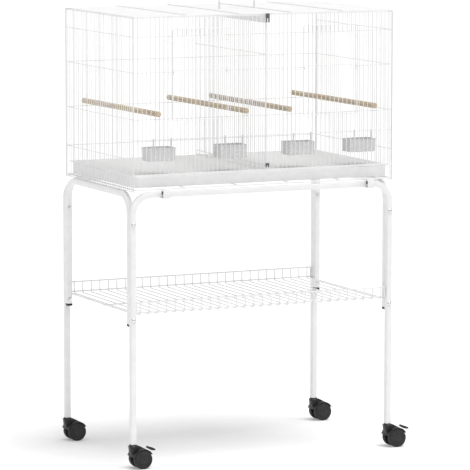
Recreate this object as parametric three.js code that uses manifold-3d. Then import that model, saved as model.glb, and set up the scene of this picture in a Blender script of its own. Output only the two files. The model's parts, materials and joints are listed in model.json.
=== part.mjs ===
// A wire breeding cage, 762 mm wide, resting on a four-legged rolling stand.
// Millimetres. +X runs along the cage, +Y to the back, +Z up, the floor at Z = 0.

import * as THREE from 'three';
import { mergeVertices } from 'three/addons/utils/BufferGeometryUtils.js';
import Module from 'manifold-3d';

const wasm = await Module();
wasm.setup();

// ---------------------------------------------------------------- driving dimensions

const GAP = 0.4; // clearance between neighbouring pieces
const INSET = 0.3; // a post's faces lie this far inside its panel's edges

// stand
const TUBE = 15; // square tube, outside
const TUBE_WALL = 1.2;
const LEG_X = 377.5; // leg axis from the stand's middle
const LEG_Y = 225.5;
const LEG_BOTTOM = 64.7;
const RAIL_Z = 723; // centre line of the horizontal tubes
const BEND_RADIUS = 50;
const STUB_REACH = 88; // leg axis to the end of its bent stub
const INNER_Y = LEG_Y - TUBE - GAP; // end frame leg, beside the outer leg
const FRAME_FOOT = 383; // lower end of the end frames
const CAP_HEIGHT = 6;
const UPPER_BOLT_Z = 646.6;
const LOWER_BOLT_Z = 394.4;
const BOLT_RADIUS = 2.9;
const BRACKET_WIDTH = 19;
const BRACKET_LEFT = -289;
const BRACKET_RIGHT = 312;

// wire shelf
const SHELF_HALF = 368.6;
const SHELF_Z = 408;
const SHELF_RIM = 33;
const SHELF_PITCH = 25.4;

// cage
const CAGE_X = 4; // the cage sits a little right of the stand's middle
const CAGE_WIDTH = 762;
const CAGE_DEPTH = 464;
const CAGE_BOTTOM = 731;
const CAGE_TOP = 1192.5;
const PITCH = 12.7; // bar spacing
const BAR = 2;
const CROSS = 2.6; // welded horizontals
const POST = 4; // corner and frame wires
const LEVELS = [921, 1043.4, 1136.9]; // horizontals on every wall
const LOW_LEVEL = 815.4; // back and side walls only
const FEEDER_LEVEL = 867.5; // front wall only
const FRONT_SILL = 774.4; // lower edge of the front wall, above the tray slot
const BASE_LOW = 735.2; // underside of the wire base that carries the tray
const BASE_THICK = 4;
const SIXTHS = [-228.6, -76.2, 76.2, 228.6]; // cross wires of roof, grille and base

// doors
const DOOR_CENTRE = 190.5;
const DOOR_BARS = 6; // bar spacings from the door's middle to its opening's edge
const DOOR_WIDTH = 163;
const DOOR_BOTTOM = 915.5;
const DOOR_TOP = 1156.5;
const GUIDES = [ // height, reach outside the door, lap over its side wire
  { z: 1125.5, reach: 30, lap: 9 },
  { z: 1038.4, reach: 8, lap: 4 },
];

// tray, grille, divider, cups, perches, handle
const TRAY_HALF = 374;
const TRAY_TOP = 769.4;
const TRAY_WALL = 1.8;
const TRAY_RIM = 2.4; // how far the rim stands out from the wall
const TRAY_FLARE = 14; // how far in from the rim the floor's edge lies
const GRILLE_Z = 769.8;
const CUP_WIDTH = 82;
const CUP_DEPTH = 52;
const CUP_HEIGHT = 35;
const CUP_BOTTOM = 810;
const CUP_WALL = 1.8;
const CUP_CORNER = 9;
const CUP_CENTRES = [-296.5, -90.5, 111, 293.5];
const PERCH_RADIUS = 7.5;
const PERCH_Z = 934.5;
const PERCH_SLOTS = [-25.5, -5.5, 4.5, 24.5]; // back end, in bar spacings from the middle
const BAND = 23; // solid strip along the divider's top
const HANDLE_X = 28.4; // a little right of the cage's middle
const HANDLE_SPAN = 104;
const HANDLE_HEIGHT = 46;

// casters
const WHEEL_RADIUS = 25;
const WHEEL_INNER = 8;
const WHEEL_OUTER = 23.5;
const TRAIL = 21.4; // wheel axle behind the swivel axis
const AXLE_RADIUS = 3;

// ---------------------------------------------------------------- materials

const material = (color, roughness, metalness) =>
  new THREE.MeshStandardMaterial({ color, roughness, metalness });
const whiteWire = material(0xf1f1f0, 0.38, 0.1);
const whiteTube = material(0xf0f0ef, 0.34, 0.1);
const whitePlastic = material(0xefefec, 0.42, 0);
const blackPlastic = material(0x141414, 0.5, 0);
const greyPlastic = material(0x8f9092, 0.3, 0);
const darkPlastic = material(0x4a4a4c, 0.45, 0);
const rubber = material(0x1b1b1c, 0.75, 0);
const timber = material(0xb08a5c, 0.7, 0);
const zinc = material(0xd8d8d8, 0.3, 0.8);

// ---------------------------------------------------------------- solids

// A box between two corners.
function block(x0, x1, y0, y1, z0, z1) {
  const geometry = new THREE.BoxGeometry(x1 - x0, y1 - y0, z1 - z0);
  geometry.translate((x0 + x1) / 2, (y0 + y1) / 2, (z0 + z1) / 2);
  return geometry;
}

// Two values, lower first.
function span(a, b) {
  return [Math.min(a, b), Math.max(a, b)];
}

// A cylinder along Y or Z, centred at a point.
function rod(axis, radius, length, x, y, z, sides = 12) {
  const geometry = new THREE.CylinderGeometry(radius, radius, length, sides);
  if (axis === 'z') geometry.rotateX(Math.PI / 2);
  geometry.translate(x, y, z);
  return geometry;
}

// A closed geometry as a manifold solid.
function solid(geometry) {
  const bare = geometry.clone();
  bare.deleteAttribute('normal');
  bare.deleteAttribute('uv');
  const merged = mergeVertices(bare, 1e-4);
  return new wasm.Manifold(new wasm.Mesh({
    numProp: 3,
    vertProperties: new Float32Array(merged.attributes.position.array),
    triVerts: new Uint32Array(merged.index.array),
  }));
}

// A manifold solid as a geometry.
function shape(body) {
  const mesh = body.getMesh();
  const geometry = new THREE.BufferGeometry();
  geometry.setAttribute('position', new THREE.BufferAttribute(mesh.vertProperties, 3));
  geometry.setIndex(new THREE.BufferAttribute(mesh.triVerts, 1));
  geometry.computeVertexNormals();
  return geometry;
}

function join(...geometries) {
  return shape(geometries.map(solid).reduce((sum, next) => sum.add(next)));
}

function cut(base, ...tools) {
  return shape(tools.map(solid).reduce((rest, tool) => rest.subtract(tool), solid(base)));
}

// A flat plate with rectangular windows, lying in the X-Y plane.
// edge and windows are [x0, x1, y0, y1].
function plate(edge, windows, thickness) {
  const openings = windows.map((window) => block(...window, -1, thickness + 1));
  return cut(block(...edge, 0, thickness), ...openings);
}

// Windows between bars: bars stand at the given centres across a span from lo to hi.
function gapsBetween(bars, lo, hi, barWidth = BAR) {
  const edges = [lo, ...bars.flatMap((bar) => [bar - barWidth / 2, bar + barWidth / 2]), hi];
  const gaps = [];
  for (let i = 0; i < edges.length; i += 2) gaps.push([edges[i], edges[i + 1]]);
  return gaps;
}

// Bar centres at whole spacings inside a half span.
function barCentres(half, pitch = PITCH) {
  const count = Math.floor(half / pitch);
  return Array.from({ length: 2 * count + 1 }, (_, i) => (i - count) * pitch);
}

// Stand a plate drawn in X-Y upright: its Y becomes Z and its thickness runs to +Y.
function stand(geometry, y) {
  geometry.rotateX(Math.PI / 2);
  geometry.translate(0, y, 0);
  return geometry;
}

// A path that stops only where it is given a station, with its own tangents.
class Stations extends THREE.Curve {
  constructor(points, tangents) {
    super();
    this.points = points;
    this.tangents = tangents;
  }

  index(u) {
    return Math.round(u * (this.points.length - 1));
  }

  getPointAt(u) {
    return this.points[this.index(u)].clone();
  }

  getTangentAt(u) {
    return this.tangents[this.index(u)].clone();
  }
}

// Straight runs through the corners, each corner rounded by an arc.
function bentPath(corners, radius, arcSteps) {
  const points = [corners[0]];
  const tangents = [corners[1].clone().sub(corners[0]).normalize()];
  for (let i = 1; i < corners.length - 1; i += 1) {
    const before = corners[i].clone().sub(corners[i - 1]).normalize();
    const after = corners[i + 1].clone().sub(corners[i]).normalize();
    const turn = before.angleTo(after);
    const setback = radius * Math.tan(turn / 2);
    const start = corners[i].clone().addScaledVector(before, -setback);
    const side = after.clone().addScaledVector(before, -after.dot(before)).normalize();
    const centre = start.clone().addScaledVector(side, radius);
    for (let step = 0; step <= arcSteps; step += 1) {
      const angle = (turn * step) / arcSteps;
      const point = centre.clone();
      point.addScaledVector(side, -radius * Math.cos(angle));
      point.addScaledVector(before, radius * Math.sin(angle));
      const tangent = before.clone().multiplyScalar(Math.cos(angle));
      tangent.addScaledVector(side, Math.sin(angle));
      points.push(point);
      tangents.push(tangent);
    }
  }
  points.push(corners[corners.length - 1]);
  tangents.push(tangents[tangents.length - 1].clone());
  return new Stations(points, tangents);
}

function sweep(section, path) {
  return new THREE.ExtrudeGeometry(section, {
    steps: path.points.length - 1,
    extrudePath: path,
    bevelEnabled: false,
  });
}

// The stand's square tube, hollow from end to end.
function tubeSection() {
  const square = (path, half) => {
    path.moveTo(-half, -half);
    path.lineTo(half, -half);
    path.lineTo(half, half);
    path.lineTo(-half, half);
    path.closePath();
    return path;
  };
  const section = square(new THREE.Shape(), TUBE / 2);
  section.holes = [square(new THREE.Path(), TUBE / 2 - TUBE_WALL)];
  return section;
}

function roundSection(radius, sides) {
  const points = Array.from({ length: sides }, (_, i) => {
    const angle = (2 * Math.PI * i) / sides;
    return new THREE.Vector2(radius * Math.cos(angle), radius * Math.sin(angle));
  });
  return new THREE.Shape(points);
}

// ---------------------------------------------------------------- assembly

const object = new THREE.Group();

function place(name, geometry, finish, parent = object) {
  const mesh = new THREE.Mesh(geometry, finish);
  mesh.name = name;
  parent.add(mesh);
  return mesh;
}

const corners = [
  { name: 'front_left', sx: -1, sy: -1, brake: true },
  { name: 'front_right', sx: 1, sy: -1, brake: true },
  { name: 'back_left', sx: -1, sy: 1, brake: false },
  { name: 'back_right', sx: 1, sy: 1, brake: false },
];

// ---------------------------------------------------------------- stand

// Outer leg: up from the caster, then bent inward along X into a short stub.
function legGeometry({ sx, sy }) {
  const y = sy * LEG_Y;
  const path = bentPath([
    new THREE.Vector3(sx * LEG_X, y, LEG_BOTTOM),
    new THREE.Vector3(sx * LEG_X, y, RAIL_Z),
    new THREE.Vector3(sx * (LEG_X - STUB_REACH), y, RAIL_Z),
  ], BEND_RADIUS, 6);
  const holes = [UPPER_BOLT_Z, LOWER_BOLT_Z].map((z) =>
    rod('y', BOLT_RADIUS + GAP, TUBE + 4, sx * LEG_X, y, z, 8));
  return cut(sweep(tubeSection(), path), ...holes);
}

// End frame: an upside-down U across the depth, its legs beside the outer legs.
function endFrameGeometry(sx) {
  const x = sx * LEG_X;
  const path = bentPath([
    new THREE.Vector3(x, -INNER_Y, FRAME_FOOT),
    new THREE.Vector3(x, -INNER_Y, RAIL_Z),
    new THREE.Vector3(x, INNER_Y, RAIL_Z),
    new THREE.Vector3(x, INNER_Y, FRAME_FOOT),
  ], BEND_RADIUS, 6);
  const holes = [-1, 1].flatMap((sy) => [UPPER_BOLT_Z, LOWER_BOLT_Z].map((z) =>
    rod('y', BOLT_RADIUS + GAP, TUBE + 4, x, sy * INNER_Y, z, 8)));
  return cut(sweep(tubeSection(), path), ...holes);
}

// Plastic plug in the open lower end of an end frame leg.
function capGeometry({ sx, sy }) {
  const x = sx * LEG_X;
  const y = sy * INNER_Y;
  const top = FRAME_FOOT - GAP;
  const half = TUBE / 2;
  const neck = half - TUBE_WALL - GAP;
  return join(
    block(x - half, x + half, y - half, y + half, top - CAP_HEIGHT, top),
    block(x - neck, x + neck, y - neck, y + neck, top - 1, LOWER_BOLT_Z - BOLT_RADIUS - 2),
  );
}

// Bolt through both tubes, domed head outside and a nut inside.
function boltGeometry({ sx, sy }, z) {
  const outside = LEG_Y + TUBE / 2 + GAP;
  const inside = INNER_Y - TUBE / 2 - GAP;
  const profile = [
    [0, outside + 3.2],
    [3.4, outside + 2.6],
    [5.6, outside],
    [BOLT_RADIUS, outside],
    [BOLT_RADIUS, inside],
    [5.2, inside],
    [5.2, inside - 4.5],
    [0, inside - 4.5],
  ].map(([r, h]) => new THREE.Vector2(r, h));
  const geometry = new THREE.LatheGeometry(profile.reverse(), 6);
  if (sy < 0) geometry.rotateZ(Math.PI);
  geometry.translate(sx * LEG_X, 0, z);
  return geometry;
}

for (const corner of corners) {
  place(`leg_${corner.name}`, legGeometry(corner), whiteTube);
  place(`end_cap_${corner.name}`, capGeometry(corner), blackPlastic);
  place(`bolt_upper_${corner.name}`, boltGeometry(corner, UPPER_BOLT_Z), zinc);
  place(`bolt_lower_${corner.name}`, boltGeometry(corner, LOWER_BOLT_Z), zinc);
}
place('end_frame_left', endFrameGeometry(-1), whiteTube);
place('end_frame_right', endFrameGeometry(1), whiteTube);

// Straight rail between the two stubs of one side.
function railGeometry(sy) {
  const reach = LEG_X - STUB_REACH - GAP;
  return sweep(tubeSection(), new Stations(
    [new THREE.Vector3(-reach, sy * LEG_Y, RAIL_Z), new THREE.Vector3(reach, sy * LEG_Y, RAIL_Z)],
    [new THREE.Vector3(1, 0, 0), new THREE.Vector3(1, 0, 0)],
  ));
}
place('rail_front', railGeometry(-1), whiteTube);
place('rail_back', railGeometry(1), whiteTube);

// Cage bracket: grips the horizontal tube from outside and below, with a lip that
// rises in front of the cage's lowest wire.
function bracketGeometry(x, sy) {
  const x0 = x - BRACKET_WIDTH / 2;
  const x1 = x + BRACKET_WIDTH / 2;
  const tubeOut = LEG_Y + TUBE / 2 + GAP;
  const tubeIn = LEG_Y - TUBE / 2 - GAP;
  const lipOut = CAGE_DEPTH / 2 + 16;
  const tubeLow = RAIL_Z - TUBE / 2 - GAP;
  const along = (a, b) => span(sy * a, sy * b);
  return join(
    block(x0, x1, ...along(tubeOut, lipOut), tubeLow - 1.6, BASE_LOW - GAP),
    block(x0, x1, ...along(lipOut - 3, lipOut), tubeLow - 1.6, BASE_LOW + BASE_THICK),
    block(x0, x1, ...along(tubeIn - 2, lipOut), tubeLow - 1.6, tubeLow),
    block(x0, x1, ...along(tubeIn - 2, tubeIn), tubeLow - 1.6, RAIL_Z + TUBE / 4),
  );
}
for (const [side, sy] of [['front', -1], ['back', 1]]) {
  place(`cage_bracket_${side}_left`, bracketGeometry(BRACKET_LEFT, sy), whitePlastic);
  place(`cage_bracket_${side}_right`, bracketGeometry(BRACKET_RIGHT, sy), whitePlastic);
}

// ---------------------------------------------------------------- wire shelf

// U-shaped cross wires carry a floor and two low rims; five lengthwise wires join them.
function shelfGeometry() {
  const wires = barCentres(SHELF_HALF - 6, SHELF_PITCH);
  const thick = 3;
  const rimOut = LEG_Y + 1.5;
  const edge = 4;
  const top = SHELF_Z + SHELF_RIM;
  const floorGaps = gapsBetween(wires, -SHELF_HALF + edge, SHELF_HALF - edge, thick);
  const low = SHELF_Z - thick / 2;
  const floorWindows = floorGaps.map(([a, b]) => [a, b, -rimOut + thick, rimOut - thick]);
  const floor = plate([-SHELF_HALF, SHELF_HALF, -rimOut, rimOut], floorWindows, thick);
  floor.translate(0, 0, low);
  const middle = block(-SHELF_HALF, SHELF_HALF, -edge / 2, edge / 2, low - GAP - 3, low - GAP);
  const ties = [-1, 1].map((s) =>
    block(...span(s * (SHELF_HALF - 1), s * (SHELF_HALF - edge + 1)), -1, 1, low - 1, low + 1));
  const rimWindows = floorGaps.map(([a, b]) => [a, b, low + edge, top - edge]);
  const rims = [-1, 1].map((sy) => {
    const rim = plate([-SHELF_HALF, SHELF_HALF, low, top], rimWindows, thick);
    return stand(rim, sy < 0 ? -rimOut + thick - INSET : rimOut + INSET);
  });
  return join(floor, middle, ...ties, ...rims);
}
place('wire_shelf', shelfGeometry(), whiteWire);

// ---------------------------------------------------------------- cage walls

const cage = new THREE.Group();
cage.position.x = CAGE_X;
object.add(cage);

const halfWidth = CAGE_WIDTH / 2;
const halfDepth = CAGE_DEPTH / 2;
const roofLow = CAGE_TOP - BAR - CROSS; // underside of the roof's cross wires
const wallTop = roofLow - GAP;
const sideHalf = halfDepth - POST - GAP;
const crossBack = BAR + GAP; // the horizontals lie this far behind the bars' outer face

// The corner wires at both ends of a long wall.
function cornerPosts() {
  return [-1, 1].map((s) =>
    block(...span(s * (halfWidth - INSET), s * (halfWidth - POST - INSET)), INSET, POST,
      CAGE_BOTTOM + INSET, wallTop - INSET));
}

// Back wall in its own X-Z plane, bars outside and horizontals just inside.
function backWall() {
  const bars = barCentres(halfWidth - POST - PITCH / 2);
  const gaps = gapsBetween(bars, -halfWidth + POST, halfWidth - POST);
  const windows = gaps.map(([a, b]) => [a, b, CAGE_BOTTOM + POST, wallTop - POST]);
  const sheet = stand(plate([-halfWidth, halfWidth, CAGE_BOTTOM, wallTop], windows, BAR), BAR);
  const posts = cornerPosts();
  const wires = [LOW_LEVEL, LEVELS[0], LEVELS[1]].map((z) =>
    block(-halfWidth + 1, halfWidth - 1, crossBack, POST - 0.1, z - CROSS / 2, z + CROSS / 2));
  return join(sheet, ...posts, ...wires);
}

// The front wall stops above the tray and has two door openings.
function frontWall() {
  const bars = barCentres(halfWidth - POST - PITCH / 2);
  const openLow = LEVELS[0] + CROSS / 2;
  const openHigh = LEVELS[2] - CROSS / 2;
  const openings = [-1, 1].map((s) => {
    const middle = s * DOOR_CENTRE;
    return [middle - DOOR_BARS * PITCH + BAR / 2, middle + DOOR_BARS * PITCH - BAR / 2];
  });
  const inOpening = (a, b) => openings.some(([c, d]) => a > c - BAR && b < d + BAR);
  const windows = [];
  for (const [a, b] of gapsBetween(bars, -halfWidth + POST, halfWidth - POST)) {
    if (inOpening(a, b)) {
      windows.push([a, b, FRONT_SILL + POST, openLow - CROSS]);
      windows.push([a, b, openHigh + CROSS, wallTop - POST]);
    } else {
      windows.push([a, b, FRONT_SILL + POST, wallTop - POST]);
    }
  }
  for (const [c, d] of openings) windows.push([c, d, openLow, openHigh]);
  const sheet = plate([-halfWidth, halfWidth, FRONT_SILL, wallTop], windows, BAR);
  const posts = cornerPosts();
  const lengthwise = (z, x0 = -halfWidth + 1, x1 = halfWidth - 1) =>
    block(x0, x1, crossBack, POST - 0.1, z - CROSS / 2, z + CROSS / 2);
  const wires = [lengthwise(LEVELS[0]), lengthwise(FEEDER_LEVEL), lengthwise(LEVELS[2])];
  const [[leftLow, leftHigh], [rightLow, rightHigh]] = openings;
  const stretches = [
    [-halfWidth + 1, leftLow],
    [leftHigh, rightLow],
    [rightHigh, halfWidth - 1],
  ];
  for (const [x0, x1] of stretches) wires.push(lengthwise(LEVELS[1], x0, x1));
  const welds = [leftHigh, rightLow].map((x) =>
    block(x - BAR, x + BAR, 1, POST - 1, LEVELS[1] - 1, LEVELS[1] + 1));
  return join(stand(sheet, BAR), ...posts, ...wires, ...welds, ...doorGuides());
}

// Short wires that reach from the wall round the door's side wires, so it slides up.
function doorGuides() {
  const clearOfDoor = -2 * (BAR + CROSS) - 0.2;
  const half = 1.1;
  const guides = [];
  for (const s of [-1, 1]) {
    for (const side of [-1, 1]) {
      const edge = s * DOOR_CENTRE + (side * DOOR_WIDTH) / 2;
      for (const { z, reach, lap } of GUIDES) {
        const far = edge + side * reach;
        const near = edge - side * lap;
        const foot = edge + side * 2 * GAP;
        guides.push(
          block(...span(near, far), clearOfDoor, clearOfDoor + BAR, z - half, z + half),
          block(...span(foot, far), clearOfDoor + 1, 1, z - half, z + half),
        );
      }
    }
  }
  return guides;
}

// Left or right wall, drawn in Y-Z with its bars' outer face at X = 0.
function sideWall() {
  const bars = barCentres(sideHalf - POST - 2);
  const gaps = gapsBetween(bars, -sideHalf + 3, sideHalf - 3);
  const windows = gaps.map(([a, b]) => [a, b, CAGE_BOTTOM + POST, wallTop - POST]);
  const sheet = stand(plate([-sideHalf, sideHalf, CAGE_BOTTOM, wallTop], windows, BAR), BAR);
  const posts = [-1, 1].map((s) =>
    block(...span(s * (sideHalf - INSET), s * (sideHalf - 3 - INSET)), INSET, POST,
      CAGE_BOTTOM + INSET, wallTop - INSET));
  const wires = [LOW_LEVEL, ...LEVELS].map((z) =>
    block(-sideHalf + 1, sideHalf - 1, crossBack, POST - 0.1, z - CROSS / 2, z + CROSS / 2));
  return join(sheet, ...posts, ...wires);
}

const wallFront = place('wall_front', frontWall(), whiteWire, cage);
wallFront.position.y = -halfDepth;
const wallBack = place('wall_back', backWall(), whiteWire, cage);
wallBack.position.y = halfDepth;
wallBack.rotation.z = Math.PI;
const wallLeft = place('wall_left', sideWall(), whiteWire, cage);
wallLeft.position.x = -halfWidth;
wallLeft.rotation.z = -Math.PI / 2;
const wallRight = place('wall_right', sideWall(), whiteWire, cage);
wallRight.position.x = halfWidth;
wallRight.rotation.z = Math.PI / 2;

// A horizontal panel: fine lengthwise wires over frame and cross wires.
function flatPanel(halfX, halfY, fineLow, crossLow) {
  const bars = barCentres(halfY - POST - 2);
  const gaps = gapsBetween(bars, -halfY + POST, halfY - POST);
  const windows = gaps.map(([a, b]) => [-halfX + POST, halfX - POST, a, b]);
  const sheet = plate([-halfX, halfX, -halfY, halfY], windows, BAR);
  sheet.translate(0, 0, fineLow);
  const ends = [-1, 1].map((s) =>
    block(-halfX + INSET, halfX - INSET, ...span(s * (halfY - INSET), s * (halfY - POST - INSET)),
      crossLow - 0.1, fineLow + BAR - INSET));
  const wires = SIXTHS.map((x) =>
    block(x - CROSS / 2, x + CROSS / 2, -halfY + 1, halfY - 1, crossLow, fineLow - GAP));
  return join(sheet, ...ends, ...wires);
}
// The roof is such a panel upside down, its cross wires on top.
const roof = place('roof', flatPanel(halfWidth, halfDepth, CROSS, 0), whiteWire, cage);
roof.rotation.x = Math.PI;
roof.position.z = CAGE_TOP;

// Base frame under the tray: a wire rectangle with cross wires.
function baseFrame() {
  const halfX = halfWidth - POST - GAP;
  const frontEdge = -halfDepth;
  const backEdge = halfDepth - POST - GAP;
  const windows = gapsBetween(SIXTHS, -halfX + POST, halfX - POST, CROSS).map(([a, b]) =>
    [a, b, frontEdge + POST, backEdge - POST]);
  const frame = plate([-halfX, halfX, frontEdge, backEdge], windows, BASE_THICK);
  frame.translate(0, 0, BASE_LOW);
  return frame;
}
place('base_frame', baseFrame(), whiteWire, cage);

// ---------------------------------------------------------------- doors

// Sliding door: bars in a frame behind two horizontals, in front of the wall.
function doorGeometry() {
  const half = DOOR_WIDTH / 2;
  const frame = 2.6;
  const bars = Array.from({ length: 2 * DOOR_BARS - 1 }, (_, i) => (i - DOOR_BARS + 1) * PITCH);
  const windows = gapsBetween(bars, -half + frame, half - frame).map(([a, b]) =>
    [a, b, DOOR_BOTTOM + frame, DOOR_TOP - frame]);
  const sheet = stand(plate([-half, half, DOOR_BOTTOM, DOOR_TOP], windows, BAR), -0.5);
  const outer = -0.5 - BAR - CROSS;
  const sides = [-1, 1].map((s) =>
    block(...span(s * (half - INSET), s * (half - frame - INSET)), outer, -1,
      DOOR_BOTTOM + INSET, DOOR_TOP - INSET));
  const wires = [LEVELS[2], LEVELS[1] + 5].map((z) =>
    block(-half + 1, half - 1, outer + 0.1, outer + CROSS - GAP, z - 1.2, z + 1.2));
  return join(sheet, ...sides, ...wires);
}
for (const [side, s] of [['left', -1], ['right', 1]]) {
  const door = place(`door_${side}`, doorGeometry(), whiteWire, cage);
  door.position.set(s * DOOR_CENTRE, -halfDepth, 0);
}

// ---------------------------------------------------------------- tray and grille

function roundedRectangle(halfX, y0, y1, radius) {
  const shape2d = new THREE.Shape();
  shape2d.moveTo(-halfX + radius, y0);
  shape2d.lineTo(halfX - radius, y0);
  shape2d.absarc(halfX - radius, y0 + radius, radius, -Math.PI / 2, 0, false);
  shape2d.absarc(halfX - radius, y1 - radius, radius, 0, Math.PI / 2, false);
  shape2d.absarc(-halfX + radius, y1 - radius, radius, Math.PI / 2, Math.PI, false);
  shape2d.absarc(-halfX + radius, y0 + radius, radius, Math.PI, Math.PI * 1.5, false);
  return shape2d;
}

function prism(section, z0, z1, curveSegments = 4) {
  const geometry = new THREE.ExtrudeGeometry(section,
    { depth: z1 - z0, bevelEnabled: false, steps: 1, curveSegments });
  geometry.translate(0, 0, z0);
  return geometry;
}

const trayLow = BASE_LOW + BASE_THICK + GAP;
const trayFloorTop = trayLow + TRAY_WALL;

function trayOutline(inset, radius) {
  return roundedRectangle(TRAY_HALF - inset,
    -halfDepth - 2 + inset, halfDepth - POST - 2 - inset, radius);
}

// Leaning walls: the outline at the floor, and the wider one at the rim.
function flare(lowInset, topInset, radius, z0, z1) {
  const points = [[lowInset, z0], [topInset, z1]].flatMap(([inset, z]) =>
    trayOutline(inset, radius).getPoints(4).map((p) => [p.x, p.y, z]));
  return shape(wasm.Manifold.hull(points));
}

// The tray's walls flare up from its flat floor to a narrow rim.
function trayWallGeometry() {
  const low = trayFloorTop + 0.1;
  const wall = flare(TRAY_FLARE, TRAY_RIM, 16, low, TRAY_TOP);
  const rim = prism(trayOutline(0, 18), TRAY_TOP - TRAY_RIM, TRAY_TOP);
  const hollow = flare(TRAY_FLARE + TRAY_WALL, TRAY_RIM + TRAY_WALL, 6, low, TRAY_TOP);
  const above = prism(trayOutline(TRAY_RIM + TRAY_WALL, 6), TRAY_TOP - 0.01, TRAY_TOP + 1);
  const below = prism(trayOutline(TRAY_FLARE + TRAY_WALL, 6), low - 1, low + 0.01);
  return cut(join(wall, rim), hollow, above, below);
}
place('tray', prism(trayOutline(TRAY_FLARE, 16), trayLow, trayFloorTop), whitePlastic, cage);
place('tray_wall', trayWallGeometry(), whitePlastic, cage);

place('floor_grille',
  flatPanel(TRAY_HALF - 1, halfDepth - POST - 2, GRILLE_Z + CROSS - 0.2, GRILLE_Z),
  whiteWire, cage);

// ---------------------------------------------------------------- divider

// Wire partition across the depth, with a solid band along its top.
function dividerGeometry() {
  const half = sideHalf - 1.5;
  const low = GRILLE_Z + CROSS + BAR + 0.6;
  const high = wallTop - 0.5;
  const bars = barCentres(half - POST - 2);
  const windows = gapsBetween(bars, -half + 3, half - 3).map(([a, b]) =>
    [a, b, low + 3, high - BAND]);
  const sheet = stand(plate([-half, half, low, high], windows, BAR), BAR / 2);
  const rims = [-1, 1].map((s) =>
    block(...span(s * (half - INSET), s * (half - 3 - INSET)), -BAR / 2 + INSET,
      BAR / 2 + CROSS + 0.1, low + INSET, high - INSET));
  const wires = [787, 1081.5].map((z) =>
    block(-half + 1, half - 1, BAR / 2 + GAP, BAR / 2 + CROSS, z - CROSS / 2, z + CROSS / 2));
  return join(sheet, ...rims, ...wires);
}
const divider = place('divider', dividerGeometry(), whiteWire, cage);
divider.rotation.z = Math.PI / 2;
divider.position.x = PITCH / 2;

// Dark latch on the front wall that holds the divider's top, and a small one at its foot.
function latchGeometry(z0, z1, prongLow) {
  const y0 = -halfDepth - 6;
  const y1 = -halfDepth - GAP;
  const x = PITCH / 2 - 1.5;
  const half = 5;
  const prong = 2.6;
  const body = block(x - half, x + half, y0, y1, z0, z1);
  const prongs = [-1, 1].map((s) =>
    block(...span(x + s * (half - 0.5), x + s * (half - 0.5 - prong)),
      y0 + 1, y1 - 1, prongLow, z0 + 1));
  return join(body, ...prongs);
}
place('divider_latch', latchGeometry(1177, 1190, 1166), darkPlastic, cage);
place('divider_foot_clip', latchGeometry(787, 793, 782), darkPlastic, cage);

// ---------------------------------------------------------------- feeder cups

// A rectangular cup with round corners, its long side against the front wall.
function cupOutline(inset) {
  return roundedRectangle(CUP_WIDTH / 2 - inset, inset, CUP_DEPTH - inset, CUP_CORNER - inset);
}

// Two straps rise from the cup's front side and hook over the wall's feeder wire.
function cupGeometry() {
  const top = CUP_BOTTOM + CUP_HEIGHT;
  const hookLow = FEEDER_LEVEL + CROSS / 2 + GAP;
  const hookTop = hookLow + 1.6;
  const strap = 4;
  const cup = cut(
    prism(cupOutline(0), CUP_BOTTOM, top),
    prism(cupOutline(CUP_WALL), CUP_BOTTOM + CUP_WALL, top + 1),
  );
  const straps = [-1, 1].flatMap((s) => {
    const x = s * 2 * PITCH;
    return [
      block(x - strap / 2, x + strap / 2, 0, CUP_WALL, top - 4, hookTop),
      block(x - strap / 2, x + strap / 2, -POST / 2, CUP_WALL, hookLow, hookTop),
    ];
  });
  return join(cup, ...straps);
}
CUP_CENTRES.forEach((x, i) => {
  const cup = place(`feeder_cup_${i + 1}`, cupGeometry(), greyPlastic, cage);
  cup.position.set(x, -halfDepth + POST + GAP, 0);
});

// ---------------------------------------------------------------- perches

// Dowel with a groove near each end that slips between two bars.
function perchGeometry() {
  const head = 6;
  const groove = POST + 1.2;
  const half = halfDepth + GAP + head;
  const neck = (PITCH - BAR) / 2 - 0.5;
  const r = PERCH_RADIUS;
  const profile = [
    [0, -half],
    [r - 1.4, -half],
    [r, -half + 1.4],
    [r, -half + head],
    [neck, -half + head],
    [neck, -half + head + groove],
    [r, -half + head + groove],
  ];
  const mirrored = profile.slice().reverse().map(([radius, y]) => [radius, -y]);
  const points = [...profile, ...mirrored].map(([radius, y]) => new THREE.Vector2(radius, y));
  return new THREE.LatheGeometry(points, 10);
}
PERCH_SLOTS.forEach((slot, i) => {
  const perch = place(`perch_${i + 1}`, perchGeometry(), timber, cage);
  perch.position.set((slot + 0.5) * PITCH, 0, PERCH_Z);
  perch.rotation.z = Math.atan2(PITCH, CAGE_DEPTH - POST);
});

// ---------------------------------------------------------------- handle

// Upright wire loop; its feet pass between two roof wires and hook under one.
function handleGeometry() {
  const half = HANDLE_SPAN / 2;
  const y = PITCH / 2;
  const foot = roofLow - 3.4;
  const path = bentPath([
    new THREE.Vector3(-half, y, foot),
    new THREE.Vector3(-half, y, CAGE_TOP + HANDLE_HEIGHT),
    new THREE.Vector3(half, y, CAGE_TOP + HANDLE_HEIGHT),
    new THREE.Vector3(half, y, foot),
  ], 14, 5);
  const hooks = [-1, 1].map((s) =>
    block(s * half - 2, s * half + 2, y - 9, y + 1, foot - 2, foot + 2));
  return join(sweep(roundSection(2.4, 8), path), ...hooks);
}
const handle = place('carry_handle', handleGeometry(), whiteWire, cage);
handle.position.x = HANDLE_X;

// ---------------------------------------------------------------- casters

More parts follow.
